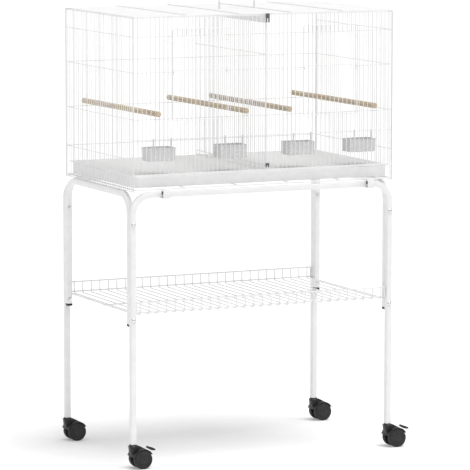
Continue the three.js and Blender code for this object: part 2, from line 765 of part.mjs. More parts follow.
// Hood and stem: a web between the twin wheels, a fender over them, a stem up the leg.
function housingGeometry() {
  const web = WHEEL_INNER - GAP;
  const top = LEG_BOTTOM - GAP;
  const outline = new THREE.Shape();
  outline.moveTo(-12, top - 3);
  outline.lineTo(-9, 44);
  outline.lineTo(TRAIL - 9, WHEEL_RADIUS - 8);
  outline.absarc(TRAIL, WHEEL_RADIUS, 12, Math.PI * 1.25, Math.PI * 2, false);
  outline.lineTo(TRAIL + 20, 47);
  outline.lineTo(14, top - 3);
  const plateSolid = stand(new THREE.ExtrudeGeometry(outline,
    { depth: 2 * web, bevelEnabled: false, steps: 1, curveSegments: 4 }), web);
  const fender = new THREE.Shape();
  const inner = WHEEL_RADIUS + 1.2;
  const outer = inner + 2.4;
  fender.absarc(TRAIL, WHEEL_RADIUS, outer, 0.5, Math.PI - 0.25, false);
  fender.absarc(TRAIL, WHEEL_RADIUS, inner, Math.PI - 0.25, 0.5, true);
  const hood = stand(new THREE.ExtrudeGeometry(fender,
    { depth: 2 * WHEEL_OUTER, bevelEnabled: false, steps: 1, curveSegments: 7 }), WHEEL_OUTER);
  const boss = rod('z', 10.5, 8, 0, 0, top - 4, 14);
  const stem = rod('z', TUBE / 2 - TUBE_WALL - 0.5, 20, 0, 0, top + 9, 12);
  const bore = rod('y', AXLE_RADIUS + 0.5, 40, TRAIL, 0, WHEEL_RADIUS, 12);
  return cut(join(plateSolid, hood, boss, stem), bore);
}

// Twin wheels on their axle, turning together.
function wheelGeometry() {
  const r = WHEEL_RADIUS;
  const half = [
    [0, WHEEL_OUTER],
    [r - 2, WHEEL_OUTER],
    [r, WHEEL_OUTER - 2.5],
    [r, WHEEL_INNER + 1.5],
    [r - 1.5, WHEEL_INNER],
    [AXLE_RADIUS, WHEEL_INNER],
  ];
  const mirrored = half.slice().reverse().map(([radius, y]) => [radius, -y]);
  const points = [...half, ...mirrored].map(([radius, y]) => new THREE.Vector2(radius, y));
  return new THREE.LatheGeometry(points.reverse(), 18);
}

// Foot lever of a braked caster, hinged over the fender's trailing end.
function leverGeometry() {
  const outline = new THREE.Shape();
  outline.moveTo(TRAIL + 19, 52);
  outline.lineTo(TRAIL + 29, 46.5);
  outline.lineTo(TRAIL + 39, 46);
  outline.lineTo(TRAIL + 39, 50);
  outline.lineTo(TRAIL + 30, 53);
  outline.lineTo(TRAIL + 22, 57);
  return stand(new THREE.ExtrudeGeometry(outline,
    { depth: 20, bevelEnabled: false, steps: 1 }), 10);
}

for (const { name, sx, sy, brake } of corners) {
  const caster = new THREE.Group();
  caster.position.set(sx * LEG_X, sy * LEG_Y, 0);
  object.add(caster);
  place(`caster_hood_${name}`, housingGeometry(), blackPlastic, caster);
  const wheels = place(`caster_wheels_${name}`, wheelGeometry(), rubber, caster);
  wheels.position.set(TRAIL, 0, WHEEL_RADIUS);
  if (brake) place(`brake_lever_${name}`, leverGeometry(), blackPlastic, caster);
}

// The origin is the middle of the object's outline on the floor.
const extent = new THREE.Box3().setFromObject(object);
const middle = extent.getCenter(new THREE.Vector3());
object.position.set(-middle.x, -middle.y, -extent.min.z);

export default object;
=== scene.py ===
import json
import math

import bmesh
import bpy
from mathutils import Matrix, Vector
from mathutils.geometry import tessellate_polygon


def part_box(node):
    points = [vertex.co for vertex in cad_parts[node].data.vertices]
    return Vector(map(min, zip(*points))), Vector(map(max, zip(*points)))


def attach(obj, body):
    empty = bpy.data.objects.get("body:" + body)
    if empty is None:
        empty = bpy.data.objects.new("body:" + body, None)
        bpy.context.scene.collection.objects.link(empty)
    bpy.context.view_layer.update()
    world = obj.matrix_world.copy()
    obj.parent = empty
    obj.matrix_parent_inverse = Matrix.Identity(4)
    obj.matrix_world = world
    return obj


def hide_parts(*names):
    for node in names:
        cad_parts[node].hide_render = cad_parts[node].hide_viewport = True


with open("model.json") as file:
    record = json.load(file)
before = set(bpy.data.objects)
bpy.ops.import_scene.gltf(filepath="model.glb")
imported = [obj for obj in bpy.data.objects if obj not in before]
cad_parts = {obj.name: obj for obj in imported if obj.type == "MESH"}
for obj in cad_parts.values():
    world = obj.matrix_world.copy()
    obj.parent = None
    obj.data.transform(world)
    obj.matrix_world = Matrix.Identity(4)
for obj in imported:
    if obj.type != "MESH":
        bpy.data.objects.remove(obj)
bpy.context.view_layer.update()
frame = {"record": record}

# A wire breeding cage on a rolling tube stand. Lengths are in millimetres until a
# piece is made, and the stand's and the cage's own middles are the two origins.

MM = 0.001
BODY_OF = {
    node: body
    for body, nodes in frame["record"]["behaviour"]["bodies"].items()
    for node in nodes
}


def low(node):
    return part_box(node)[0] / MM


def high(node):
    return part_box(node)[1] / MM


def middle(node):
    return (low(node) + high(node)) / 2


# ------------------------------------------------------------------ dimensions

STAND_X = middle("rail_front").x
CAGE_X = middle("roof").x

TUBE = 15
TUBE_WALL = 1.2
TUBE_CORNER = 1.7  # outside corner radius of the square tube
LEG_X = 377.5
LEG_Y = 225.5
RAIL_Z = middle("rail_front").z
LEG_BOTTOM = low("leg_front_left").z
BEND_RADIUS = 50
STUB_REACH = 88
INNER_Y = 210.1
FRAME_FOOT = low("end_frame_left").z
UPPER_BOLT_Z = 646.6
LOWER_BOLT_Z = 394.4
BOLT_RADIUS = 2.9

SHELF_HALF = 368.6
SHELF_Z = 408
SHELF_TOP = high("wire_shelf").z
SHELF_PITCH = 25.4

HALF_WIDTH = 381
HALF_DEPTH = 232
CAGE_BOTTOM = low("wall_left").z
CAGE_TOP = high("roof").z
WALL_TOP = high("wall_left").z
PITCH = 12.7
THIN = 0.9  # wire radii
CROSS = 1.15
FRAME = 1.4
LEVELS = [921, 1043.4, 1136.9]
LOW_LEVEL = 815.4
FEEDER_LEVEL = 867.5
FRONT_SILL = 774.4
WALL_EDGE = 10.35  # from a long wall's end to its bars, at least
SIDE_EDGE = 6
WIRE_END = 1.5  # a horizontal stops this far inside its wall's end
BASE_Z = middle("base_frame").z
SIXTHS = [-228.6, -76.2, 76.2, 228.6]

DOOR_CENTRE = 190.5
DOOR_HALF = 81.5
DOOR_GAP = 76.2  # half the opening behind the door
DOOR_BOTTOM = low("door_left").z
DOOR_TOP = high("door_left").z
GUIDE_Z = 1125.5
GUIDE_Y = -8.4  # in front of the door, from the wall's face

TRAY_HALF = 374
TRAY_LOW = low("tray").z
TRAY_TOP = high("tray").z
TRAY_FRONT = low("tray").y
TRAY_BACK = high("tray").y

CUP_HALF = 41
CUP_DEPTH = 52
CUP_BOTTOM = low("feeder_cup_1").z
CUP_HEIGHT = 35
CUP_TOP = CUP_BOTTOM + CUP_HEIGHT
CUP_FACE = -227.6
CUP_CORNER = 9
PERCH_RADIUS = 7.5
PERCH_Z = middle("perch_1").z
BAND = 23  # height of the divider's top strip
HANDLE_HALF = 52
HANDLE_X = 28.4  # right of the cage's middle
HANDLE_WIRE = 2.4
HANDLE_TOP = high("carry_handle").z - HANDLE_WIRE

WHEEL_RADIUS = 25
WHEEL_INNER = 8
WHEEL_OUTER = 23.5
TRAIL = 21.4

CORNERS = {
    "front_left": (-1, -1),
    "front_right": (1, -1),
    "back_left": (-1, 1),
    "back_right": (1, 1),
}

# ------------------------------------------------------------------ materials


class Finish:
    """A procedural material: two mottled shades, a surface grain and uneven gloss."""

    def __init__(self, name, dark, light, gloss, **sockets):
        self.material = bpy.data.materials.new(name)
        self.material.use_nodes = True
        self.tree = self.material.node_tree
        self.shader = self.tree.nodes["Principled BSDF"]
        self.where = self.tree.nodes.new("ShaderNodeTexCoord").outputs["Object"]
        for socket, value in sockets.items():
            self.shader.inputs[socket.replace("_", " ")].default_value = value
        self.shades(self.noise(35, 3), dark, light)
        spread = self.tree.nodes.new("ShaderNodeMapRange")
        spread.inputs["From Min"].default_value = 0.3
        spread.inputs["From Max"].default_value = 0.7
        spread.inputs["To Min"].default_value = gloss[0]
        spread.inputs["To Max"].default_value = gloss[1]
        self.link(self.noise(120, 4), spread.inputs["Value"])
        self.link(spread.outputs["Result"], self.shader.inputs["Roughness"])

    def link(self, source, target):
        self.tree.links.new(source, target)

    def noise(self, scale, detail, stretch=(1, 1, 1)):
        mapping = self.tree.nodes.new("ShaderNodeMapping")
        mapping.inputs["Scale"].default_value = stretch
        self.link(self.where, mapping.inputs["Vector"])
        texture = self.tree.nodes.new("ShaderNodeTexNoise")
        texture.inputs["Scale"].default_value = scale
        texture.inputs["Detail"].default_value = detail
        self.link(mapping.outputs["Vector"], texture.inputs["Vector"])
        return texture.outputs["Fac"]

    def shades(self, factor, dark, light, ends=(0.35, 0.65)):
        ramp = self.tree.nodes.new("ShaderNodeValToRGB")
        ramp.color_ramp.elements[0].position = ends[0]
        ramp.color_ramp.elements[1].position = ends[1]
        ramp.color_ramp.elements[0].color = (*dark, 1)
        ramp.color_ramp.elements[1].color = (*light, 1)
        self.link(factor, ramp.inputs["Fac"])
        self.link(ramp.outputs["Color"], self.shader.inputs["Base Color"])

    def grain(self, height, strength, depth):
        bump = self.tree.nodes.new("ShaderNodeBump")
        bump.inputs["Strength"].default_value = strength
        bump.inputs["Distance"].default_value = depth
        self.link(height, bump.inputs["Height"])
        self.link(bump.outputs["Normal"], self.shader.inputs["Normal"])
        return self


def grey(value):
    return (value, value, value)


def powder_coat(name, shade, gloss):
    """Baked white powder with a fine orange-peel skin."""
    dark = tuple(0.955 * channel for channel in shade)
    coat = Finish(name, dark, shade, gloss, Coat_Weight=0.12, Coat_Roughness=0.22)
    return coat.grain(coat.noise(1100, 2), 0.16, 0.0002)


def moulded(name, dark, light, gloss, scale, strength, **sockets):
    """Moulded plastic with a fine spark-eroded texture."""
    plastic = Finish(name, dark, light, gloss, **sockets)
    return plastic.grain(plastic.noise(scale, 3), strength, 0.0002)


def wood(name, dark, light, along):
    """Light hardwood: long streaks and fine open pores."""
    timber = Finish(name, dark, light, (0.55, 0.75), Specular_IOR_Level=0.3)
    streaks = timber.noise(260, 5, along)
    timber.shades(streaks, dark, light, (0.3, 0.62))
    return timber.grain(timber.noise(620, 4, along), 0.35, 0.0003)


def brushed(name, dark, light, gloss):
    """Bright zinc plating, faintly streaked."""
    plated = Finish(name, dark, light, gloss, Metallic=1.0)
    return plated.grain(plated.noise(1500, 2, (1, 0.1, 1)), 0.12, 0.0001)


ALONG_Y = (1, 0.05, 1)
FINISHES = {
    "white_wire": powder_coat("wire_powder_coat", (0.81, 0.81, 0.81), (0.3, 0.42)),
    "white_tube": powder_coat("tube_powder_coat", (0.83, 0.83, 0.83), (0.28, 0.4)),
    "white_plastic": moulded(
        "white_moulding", (0.79, 0.79, 0.79), (0.83, 0.83, 0.83), (0.38, 0.5), 900, 0.1
    ),
    "black_plastic": moulded(
        "black_moulding", grey(0.008), grey(0.014), (0.34, 0.5), 1300, 0.22
    ),
    "grey_plastic": moulded(
        "smoke_moulding", grey(0.66), grey(0.71), (0.2, 0.3), 500, 0.05,
        Transmission_Weight=0.1, IOR=1.46,
    ),
    "dark_plastic": moulded(
        "dark_moulding", grey(0.10), grey(0.13), (0.36, 0.5), 1100, 0.18
    ),
    "caster_tread": moulded(
        "black_rubber", grey(0.010), grey(0.019), (0.6, 0.8), 700, 0.3
    ),
    "timber": wood("perch_wood", (0.38, 0.30, 0.21), (0.58, 0.49, 0.37), ALONG_Y),
    "zinc_bolt": brushed("zinc_plate", grey(0.66), grey(0.8), (0.22, 0.38)),
}
# painted shade: a near-black wood colour for the perch grooves, standing in for the shade
# inside them
GROOVE_PAINTED_SHADE = wood("perch_groove_painted_shade", (0.05, 0.035, 0.02), (0.1, 0.07, 0.04), ALONG_Y)

# ------------------------------------------------------------------ paths


def vec(*values):
    return Vector(values)


def straight(a, b):
    """A path of (point, direction) pairs from a to b."""
    a, b = Vector(a), Vector(b)
    way = (b - a).normalized()
    return [(a, way), (b, way)]


def bent(corners, radii, steps=6):
    """Straight runs through the corners, each corner rounded by an arc."""
    corners = [Vector(c) for c in corners]
    if not isinstance(radii, (list, tuple)):
        radii = [radii] * (len(corners) - 2)
    path = [(corners[0], (corners[1] - corners[0]).normalized())]
    for i, radius in enumerate(radii, start=1):
        before = (corners[i] - corners[i - 1]).normalized()
        after = (corners[i + 1] - corners[i]).normalized()
        turn = before.angle(after)
        start = corners[i] - before * radius * math.tan(turn / 2)
        side = (after - before * after.dot(before)).normalized()
        centre = start + side * radius
        for step in range(steps + 1):
            angle = turn * step / steps
            outward = before * math.sin(angle) - side * math.cos(angle)
            along = before * math.cos(angle) + side * math.sin(angle)
            path.append((centre + outward * radius, along))
    path.append((corners[-1], (corners[-1] - corners[-2]).normalized()))
    return path


def loop(corners, radius, steps=5):
    """A closed path round the corners; it starts half-way along one side."""
    start = (Vector(corners[-1]) + Vector(corners[0])) / 2
    return bent([start, *corners, start], radius, steps)[:-1]


def rounded_rectangle(half_x, y0, y1, radius, steps=6):
    """Points anticlockwise round a rectangle with round corners."""
    points = []
    middles = [
        (half_x - radius, y0 + radius, -90),
        (half_x - radius, y1 - radius, 0),
        (radius - half_x, y1 - radius, 90),
        (radius - half_x, y0 + radius, 180),
    ]
    for x, y, first in middles:
        for step in range(steps + 1):
            angle = math.radians(first + 90 * step / steps)
            points.append((x + radius * math.cos(angle), y + radius * math.sin(angle)))
    return points


def bar_centres(half, pitch=PITCH):
    count = int(half / pitch)
    return [i * pitch for i in range(-count, count + 1)]


# ------------------------------------------------------------------ shapes


class Form:
    """Points and faces of one piece, gathered shape by shape."""

    def __init__(self):
        self.points = []
        self.faces = []

    def add(self, points, faces):
        base = len(self.points)
        self.points.extend(Vector(p) for p in points)
        self.faces.extend([base + i for i in face] for face in faces)

    def skin(self, rings, capped=True, wrapped=False):
        """One surface over rings of equal length, in order."""
        count = len(rings[0])
        last = len(rings) if wrapped else len(rings) - 1
        faces = []
        for r in range(last):
            a, b = r * count, (r + 1) % len(rings) * count
            for i in range(count):
                j = (i + 1) % count
                faces.append([a + i, a + j, b + j, b + i])
        if capped and not wrapped:
            faces.append(list(range(count))[::-1])
            faces.append([(len(rings) - 1) * count + i for i in range(count)])
        self.add([p for ring in rings for p in ring], faces)

    def wire(self, path, radius, closed=False, sides=8):
        """A round wire along a path, its two ends slightly domed."""
        rings = []
        across = path[0][1].orthogonal().normalized()
        last = len(path) - 1
        for k, (point, along) in enumerate(path):
            across = (across - along * across.dot(along)).normalized()
            up = along.cross(across)
            stops = [(0, 1)]
            if not closed and k == 0:
                stops = [(0, 0.5), (0.25, 0.85), (0.8, 1)]
            elif not closed and k == last:
                stops = [(-0.8, 1), (-0.25, 0.85), (0, 0.5)]
            for shift, scale in stops:
                centre = point + along * radius * shift
                rings.append([
                    centre + (across * math.cos(a) + up * math.sin(a)) * radius * scale
                    for a in (2 * math.pi * i / sides for i in range(sides))
                ])
        self.skin(rings, wrapped=closed)

    def weld(self, x, y, z, size=1.25):
        """The small swelling where two crossed wires are welded."""
        sides = 6
        rings = []
        for height, scale in ((-0.9, 0.45), (-0.4, 0.95), (0.4, 0.95), (0.9, 0.45)):
            rings.append([
                vec(x + size * scale * math.cos(a), y + size * scale * math.sin(a),
                    z + size * height)
                for a in (2 * math.pi * i / sides for i in range(sides))
            ])
        self.skin(rings)

    def square_tube(self, path, normal):
        """A hollow square tube with slightly rounded edges."""
        normal = Vector(normal)
        walls = []
        for half, corner in ((TUBE / 2, TUBE_CORNER), (TUBE / 2 - TUBE_WALL, 0.7)):
            section = rounded_rectangle(half, -half, half, corner, 3)
            walls.append([
                [point + normal * a + along.cross(normal) * b for a, b in section]
                for point, along in path
            ])
        self.skin([*walls[0], *walls[1][::-1]], wrapped=True)

    def lathe(self, profile, centre, axis, sides=24):
        """A profile of (radius, height) turned round an axis through a centre."""
        centre, axis = Vector(centre), Vector(axis)
        across = axis.orthogonal().normalized()
        up = axis.cross(across)
        self.skin([
            [centre + axis * height + (across * math.cos(a) + up * math.sin(a)) * radius
             for a in (2 * math.pi * i / sides for i in range(sides))]
            for radius, height in profile
        ])

    def slab(self, loops, put, near, far):
        """An outline, with any holes, extruded; put maps (a, b, depth) to a point."""
        flat = [pair for ring in loops for pair in ring]
        caps = tessellate_polygon([[vec(a, b, 0) for a, b in ring] for ring in loops])
        count = len(flat)
        points = [put(a, b, near) for a, b in flat] + [put(a, b, far) for a, b in flat]
        faces = [list(face) for face in caps]
        faces += [[count + i for i in face][::-1] for face in caps]
        start = 0
        for ring in loops:
            size = len(ring)
            for i in range(size):
                a, b = start + i, start + (i + 1) % size
                faces.append([a, b, count + b, count + a])
            start += size
        self.add(points, faces)

    def block(self, x0, x1, y0, y1, z0, z1):
        square = [(x0, y0), (x1, y0), (x1, y1), (x0, y1)]
        self.skin([[vec(x, y, z) for x, y in square] for z in (z0, z1)])

    def turned(self, degrees):
        """Turn everything so far round the vertical through the origin."""
        turn = Matrix.Rotation(math.radians(degrees), 3, "Z")
        self.points = [turn @ point for point in self.points]
        return self

    def moved(self, x=0, y=0, z=0):
        self.points = [point + vec(x, y, z) for point in self.points]
        return self


def piece(name, form, node, slot_name, bevel=0, material=None, stands=True):
    """Make a piece that rides with a CAD node's body and, by default, replaces it."""
    mesh = bpy.data.meshes.new(name)
    mesh.from_pydata([point * MM for point in form.points], [], form.faces)
    work = bmesh.new()
    work.from_mesh(mesh)
    bmesh.ops.recalc_face_normals(work, faces=work.faces)
    if bevel:
        flat = 0.01
        bmesh.ops.dissolve_limit(
            work, angle_limit=flat, verts=work.verts, edges=work.edges)
        sharp = [
            edge for edge in work.edges
            if len(edge.link_faces) == 2 and edge.calc_face_angle() > math.radians(32)
        ]
        bmesh.ops.bevel(
            work, geom=sharp, offset=bevel * MM, offset_type="OFFSET", segments=2,
            profile=0.5, affect="EDGES", clamp_overlap=True)
    work.to_mesh(mesh)
    work.free()
    mesh.shade_smooth()
    mesh.set_sharp_from_angle(angle=math.radians(38))
    mesh.materials.append((material or FINISHES[slot_name]).material)
    made = bpy.data.objects.new(name, mesh)
    bpy.context.scene.collection.objects.link(made)
    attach(made, BODY_OF[node])
    if stands:
        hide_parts(node)
    return made


# ------------------------------------------------------------------ stand


def make_leg(name, sx, sy):
    x = STAND_X + sx * LEG_X
    y = sy * LEG_Y
    inner = STAND_X + sx * (LEG_X - STUB_REACH)
    form = Form()
    form.square_tube(
        bent([(x, y, LEG_BOTTOM), (x, y, RAIL_Z), (inner, y, RAIL_Z)], BEND_RADIUS, 14),
        (0, 1, 0))
    piece(f"leg_tube_{name}", form, f"leg_{name}", "white_tube")


def make_end_frame(side, sx):
    x = STAND_X + sx * LEG_X
    form = Form()
    corners = [
        (x, -INNER_Y, FRAME_FOOT), (x, -INNER_Y, RAIL_Z),
        (x, INNER_Y, RAIL_Z), (x, INNER_Y, FRAME_FOOT),
    ]
    form.square_tube(bent(corners, BEND_RADIUS, 14), (1, 0, 0))
    piece(f"end_frame_tube_{side}", form, f"end_frame_{side}", "white_tube")


def make_end_cap(name, sx, sy):
    """A plug: a square head with a sunk face and a ribbed neck up the tube."""
    node = f"end_cap_{name}"
    x, y = STAND_X + sx * LEG_X, sy * INNER_Y
    foot = low(node).z
    form = Form()
    half = TUBE / 2
    rings = []
    for inset, z in (
        (3.0, 0.7), (2.2, 0.5), (1.2, 0.0), (0.5, 0.2), (0.1, 0.8), (0, 1.6),
        (0, 5.6), (0.3, 6.0), (1.7, 6.0), (1.7, 9.0), (2.6, 9.8),
    ):
        corner = max(1.9 - inset / 2, 0.5)
        ring = rounded_rectangle(half - inset, inset - half, half - inset, corner, 3)
        rings.append([vec(x + a, y + b, foot + z) for a, b in ring])
    form.skin(rings)
    piece(f"end_plug_{name}", form, node, "black_plastic")


def make_bolt(name, sx, sy, level, z):
    """A domed head on a washer outside, and a hexagonal nut inside."""
    centre = (STAND_X + sx * LEG_X, 0, z)
    out = (0, sy, 0)
    outside = LEG_Y + TUBE / 2
    inside = INNER_Y - TUBE / 2
    form = Form()
    form.lathe([
        (BOLT_RADIUS, inside - 3), (BOLT_RADIUS, outside), (6.6, outside),
        (6.7, outside + 0.5), (6.4, outside + 0.9), (5.5, outside + 0.9),
        (5.3, outside + 1.5), (4.6, outside + 2.5), (3.2, outside + 3.3),
        (1.4, outside + 3.6), (0.3, outside + 3.6),
    ], centre, out, 22)
    form.lathe([
        (2.4, inside - 5.1), (4.4, inside - 5.1), (5.2, inside - 4.6),
        (5.2, inside - 0.7), (4.4, inside - 0.2), (2.4, inside - 0.2),
    ], centre, out, 6)
    form.lathe([(0.5, inside - 6.0), (2.2, inside - 6.0), (2.6, inside - 5.6),
                (2.6, inside - 5)], centre, out, 14)
    piece(f"bolt_set_{level}_{name}", form, f"bolt_{level}_{name}", "zinc_bolt")


for corner_name, (side_x, side_y) in CORNERS.items():
    make_leg(corner_name, side_x, side_y)
    make_end_cap(corner_name, side_x, side_y)
    make_bolt(corner_name, side_x, side_y, "upper", UPPER_BOLT_Z)
    make_bolt(corner_name, side_x, side_y, "lower", LOWER_BOLT_Z)
make_end_frame("left", -1)
make_end_frame("right", 1)

for side, side_y in (("front", -1), ("back", 1)):
    rail = Form()
    ends = low(f"rail_{side}").x, high(f"rail_{side}").x
    y = side_y * LEG_Y
    rail.square_tube(straight((ends[0], y, RAIL_Z), (ends[1], y, RAIL_Z)), (0, 1, 0))
    plug = TUBE / 2 - TUBE_WALL
    for end in ends:
        # a plug fills the tubes where the rail meets a leg's bent end
        rail.block(end - 6, end + 6, y - plug, y + plug, RAIL_Z - plug, RAIL_Z + plug)
    piece(f"rail_tube_{side}", rail, f"rail_{side}", "white_tube")


def make_bracket(side, hand, sy):
    """A moulded clip round the tube: thin walls about a web, open at both sides."""
    node = f"cage_bracket_{side}_{hand}"
    x0, x1 = low(node).x, high(node).x
    foot, lip = low(node).z, high(node).z
    reach = max(abs(low(node).y), abs(high(node).y))
    inside = min(abs(low(node).y), abs(high(node).y))
    tube_in, tube_out = LEG_Y - TUBE / 2 - 0.4, LEG_Y + TUBE / 2 + 0.4
    tube_low = RAIL_Z - TUBE / 2 - 0.4
    shelf = BASE_Z - 2.4
    hook_top = RAIL_Z + TUBE / 4
    outer = [
        (inside, foot), (reach, foot), (reach, lip), (reach - 3, lip),
        (reach - 3, shelf), (tube_out, shelf), (tube_out, tube_low),
        (tube_in, tube_low), (tube_in, hook_top), (inside, hook_top),
    ]
    pocket = [
        (tube_out + 2.2, foot + 2.2), (reach - 2.4, foot + 2.2),
        (reach - 2.4, shelf - 2.2), (tube_out + 2.2, shelf - 2.2),
    ]
    form = Form()
    form.slab([outer, pocket], lambda a, b, d: vec(d, sy * a, b), x0, x1)
    middle_x = (x0 + x1) / 2
    across = sorted((sy * (tube_out + 2), sy * (reach - 2.2)))
    form.block(middle_x - 1.5, middle_x + 1.5, *across, foot + 2, shelf - 2)
    piece(f"bracket_clip_{side}_{hand}", form, node, "white_plastic", bevel=0.5)
    # painted shade: a dark block fills the pocket's upper half on its left side, standing in
    # for the shade inside the open pocket
    painted_shade = Form()
    painted_shade.block(x0 + 0.4, middle_x - 1.6, *across, (foot + shelf) / 2, shelf - 2)
    piece(f"bracket_painted_shade_{side}_{hand}", painted_shade, node, "black_plastic", bevel=0.4, stands=False)


for side, side_y in (("front", -1), ("back", 1)):
    for hand in ("left", "right"):
        make_bracket(side, hand, side_y)

# ------------------------------------------------------------------ wire shelf


def make_shelf():
    """U-shaped cross wires with two low rims, tied by lengthwise wires."""
    form = Form()
    rim_y = LEG_Y
    thick = 1.5
    for x in bar_centres(SHELF_HALF - 6, SHELF_PITCH):
        form.wire(bent([
            (x, -rim_y, SHELF_TOP - 2), (x, -rim_y, SHELF_Z),
            (x, rim_y, SHELF_Z), (x, rim_y, SHELF_TOP - 2),
        ], 5, 4), thick)
    end = SHELF_HALF - 2
    inner_y = rim_y - 3.2
    for sy in (-1, 1):
        for y, z in ((sy * rim_y, SHELF_TOP - 2), (sy * inner_y, SHELF_Z + 5)):
            form.wire(straight((-end, y, z), (end, y, z)), 1.9)
    form.wire(straight((-end, 0, SHELF_Z - 3.2), (end, 0, SHELF_Z - 3.2)), 1.9)
    for sx in (-1, 1):
        form.wire(bent([
            (sx * end, -rim_y, SHELF_TOP - 2), (sx * end, -rim_y, SHELF_Z),
            (sx * end, rim_y, SHELF_Z), (sx * end, rim_y, SHELF_TOP - 2),
        ], 6, 4), 1.9)
    for x in bar_centres(SHELF_HALF - 6, SHELF_PITCH):
        form.weld(x, 0, SHELF_Z - 1.5, 1.6)
        for sy in (-1, 1):
            form.weld(x, sy * (rim_y - 1.6), SHELF_Z + 4.2, 1.6)
    piece("wire_shelf_basket", form.moved(x=STAND_X), "wire_shelf", "white_wire")


make_shelf()

# ------------------------------------------------------------------ cage walls
# Each wall is drawn with its bars along X, their outer face at Y = 0 and the
# cage's inside towards +Y, then turned and moved into place.

CROSS_Y = 2 * THIN + CROSS - 0.15
FRAME_Y = FRAME + 0.1


def upright(form, x, z0, z1, y=THIN, radius=THIN):
    form.wire(straight((x, y, z0), (x, y, z1)), radius)


def lengthwise(form, x0, x1, z, y=CROSS_Y, radius=CROSS):
    form.wire(straight((x0, y, z), (x1, y, z)), radius)


def wall_frame(form, half, sill):
    """Corner posts down to the cage's foot, and rails between them."""
    x = half - FRAME - 0.2
    for s in (-1, 1):
        upright(form, s * x, CAGE_BOTTOM + 0.4, WALL_TOP - 0.3, FRAME_Y, FRAME)
    for z in (sill + FRAME + 0.2, WALL_TOP - FRAME - 0.2):
        lengthwise(form, -x, x, z, FRAME_Y - 0.3, FRAME - 0.2)


def plain_wall(half, edge, levels):
    form = Form()
    wall_frame(form, half, CAGE_BOTTOM)
    for x in bar_centres(half - edge):
        upright(form, x, CAGE_BOTTOM + 1, WALL_TOP - 1)
        for z in levels:
            form.weld(x, 2 * THIN - 0.1, z)
    for z in levels:
        lengthwise(form, -half + WIRE_END, half - WIRE_END, z)
    return form


def door_guide(form, edge, side, z, reach, lap):
    """A wire bent out from the wall, whose tip crosses the door's side wire."""
    thick = 1.1
    off = -thick - 0.1
    form.wire(bent([
        (edge + side * reach, off, z), (edge + side * reach, GUIDE_Y, z),
        (edge - side * lap, GUIDE_Y, z),
    ], 2.2, 4), thick)


def front_wall():
    """The front stops above the tray and has two door openings."""
    form = Form()
    wall_frame(form, HALF_WIDTH, FRONT_SILL)
    middle_low, middle_high = DOOR_CENTRE - DOOR_GAP, DOOR_CENTRE + DOOR_GAP
    for x in bar_centres(HALF_WIDTH - WALL_EDGE):
        heights = [FEEDER_LEVEL, *LEVELS]
        if middle_low + 1 < abs(x) < middle_high - 1:
            upright(form, x, FRONT_SILL + 1, LEVELS[0] + CROSS)
            upright(form, x, LEVELS[2] - CROSS, WALL_TOP - 1)
            heights.remove(LEVELS[1])
        else:
            upright(form, x, FRONT_SILL + 1, WALL_TOP - 1)
        for z in heights:
            form.weld(x, 2 * THIN - 0.1, z)
    end = HALF_WIDTH - WIRE_END
    for z in (FEEDER_LEVEL, LEVELS[0], LEVELS[2]):
        lengthwise(form, -end, end, z)
    # the middle horizontal breaks at each door and ends in a small loop of wire
    hook = 4.2
    for s in (-1, 1):
        for near, far in ((0, s * middle_low), (s * end, s * middle_high)):
            way = 1 if far > near else -1
            z = LEVELS[1]
            form.wire(bent([
                (near, CROSS_Y, z), (far + way * 1.5, CROSS_Y, z),
                (far + way * 1.5, -0.8, z), (far + way * 1.5, -0.8, z - hook),
                (far - way * 4, -0.8, z - hook),
            ], 1.6, 3), CROSS - 0.1)
    for s in (-1, 1):
        for side in (-1, 1):
            edge = s * DOOR_CENTRE + side * DOOR_HALF
            door_guide(form, edge, side, GUIDE_Z, 30, 9)
            door_guide(form, edge, side, LEVELS[1] - 5, 8, 4)
    return form


piece("wall_front_wires", front_wall().moved(CAGE_X, -HALF_DEPTH),
      "wall_front", "white_wire")
BACK_LEVELS = (LOW_LEVEL, LEVELS[0], LEVELS[1])
piece("wall_back_wires",
      plain_wall(HALF_WIDTH, WALL_EDGE, BACK_LEVELS).turned(180).moved(CAGE_X, HALF_DEPTH),
      "wall_back", "white_wire")
SIDE_HALF = 227.6
SIDE_LEVELS = (LOW_LEVEL, *LEVELS)
piece("wall_left_wires",
      plain_wall(SIDE_HALF, SIDE_EDGE, SIDE_LEVELS).turned(-90).moved(CAGE_X - HALF_WIDTH),
      "wall_left", "white_wire")
piece("wall_right_wires",
      plain_wall(SIDE_HALF, SIDE_EDGE, SIDE_LEVELS).turned(90).moved(CAGE_X + HALF_WIDTH),
      "wall_right", "white_wire")


def flat_panel(half_x, half_y, fine_z, cross_z):
    """A level panel: a frame, fine lengthwise wires and cross wires at their own level."""
    form = Form()
    inset = FRAME + 0.2
    form.wire(loop([
        (half_x - inset, inset - half_y, fine_z - FRAME + THIN),
        (half_x - inset, half_y - inset, fine_z - FRAME + THIN),
        (inset - half_x, half_y - inset, fine_z - FRAME + THIN),
        (inset - half_x, inset - half_y, fine_z - FRAME + THIN),
    ], 4), FRAME, closed=True)
    for y in bar_centres(half_y - 6):
        form.wire(straight((1 - half_x, y, fine_z), (half_x - 1, y, fine_z)), THIN)
        for x in SIXTHS:
            form.weld(x, y, fine_z - THIN)
    for x in SIXTHS:
        form.wire(straight((x, 1 - half_y, cross_z), (x, half_y - 1, cross_z)), CROSS)
    return form


piece("roof_wires",
      flat_panel(HALF_WIDTH, HALF_DEPTH, CAGE_TOP - 2 * CROSS - THIN + 0.1, CAGE_TOP - CROSS)
      .moved(CAGE_X), "roof", "white_wire")
GRILLE_Z = low("floor_grille").z + CROSS
GRILLE_HALF_Y = 226
piece("floor_grille_wires",
      flat_panel(TRAY_HALF - 1, GRILLE_HALF_Y, GRILLE_Z + CROSS + THIN - 0.1, GRILLE_Z)
      .moved(CAGE_X), "floor_grille", "white_wire")

